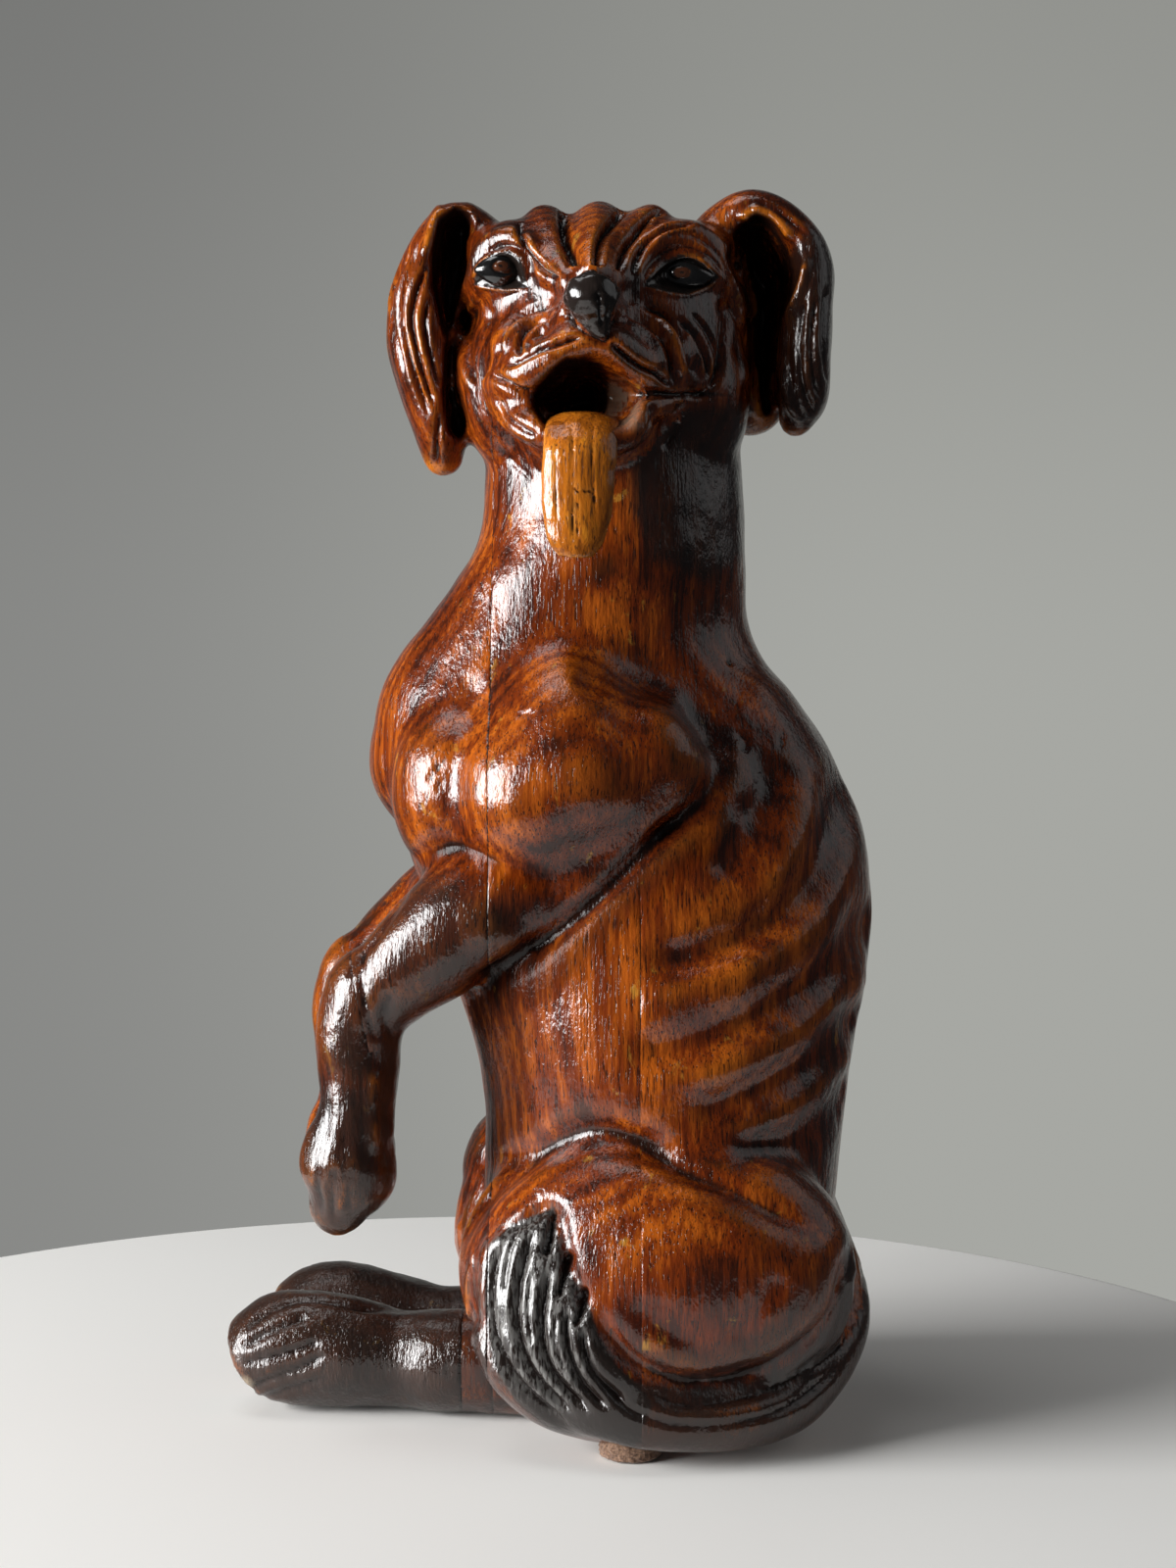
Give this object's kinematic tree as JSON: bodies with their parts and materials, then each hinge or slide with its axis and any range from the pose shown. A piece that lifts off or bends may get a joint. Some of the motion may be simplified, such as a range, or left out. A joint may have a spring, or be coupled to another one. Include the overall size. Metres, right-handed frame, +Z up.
{
  "type": "carved dog figurine",
  "caption": "Carved wooden dog that sits up and begs, head turned to one side, mouth open and tongue out, built of glued planks with dowelled paws.",
  "frame": {"origin": "bottom centre of the figure's bounding box, on the table", "axes": "+Z up, -Y the way the hind feet point, +X the dog's left side, to which the head is turned"},
  "size_m": [0.1034, 0.145, 0.2753],
  "materials": {
    "lacquered_wood": "glossy red-brown lacquer, darker in the grooves",
    "dark_foot_wood": "glossy, nearly black stain",
    "tongue_wood": "lacquered honey-coloured wood",
    "dowel_wood": "bare",
    "eye_horn": "polished black",
    "pad_felt": "matt pressed fibre"
  },
  "bodies": {
    "root": {"front_plank": "lacquered_wood", "middle_plank": "lacquered_wood", "rear_plank": "lacquered_wood", "left_forearm": "lacquered_wood", "right_forearm": "lacquered_wood", "left_hind_foot": "dark_foot_wood", "right_hind_foot": "dark_foot_wood", "left_forearm_dowel": "dowel_wood", "right_forearm_dowel": "dowel_wood", "left_foot_dowel": "dowel_wood", "right_foot_dowel": "dowel_wood", "tongue": "tongue_wood", "left_eye": "eye_horn", "right_eye": "eye_horn", "left_rump_pad": "pad_felt", "right_rump_pad": "pad_felt"}
  },
  "joints": []
}
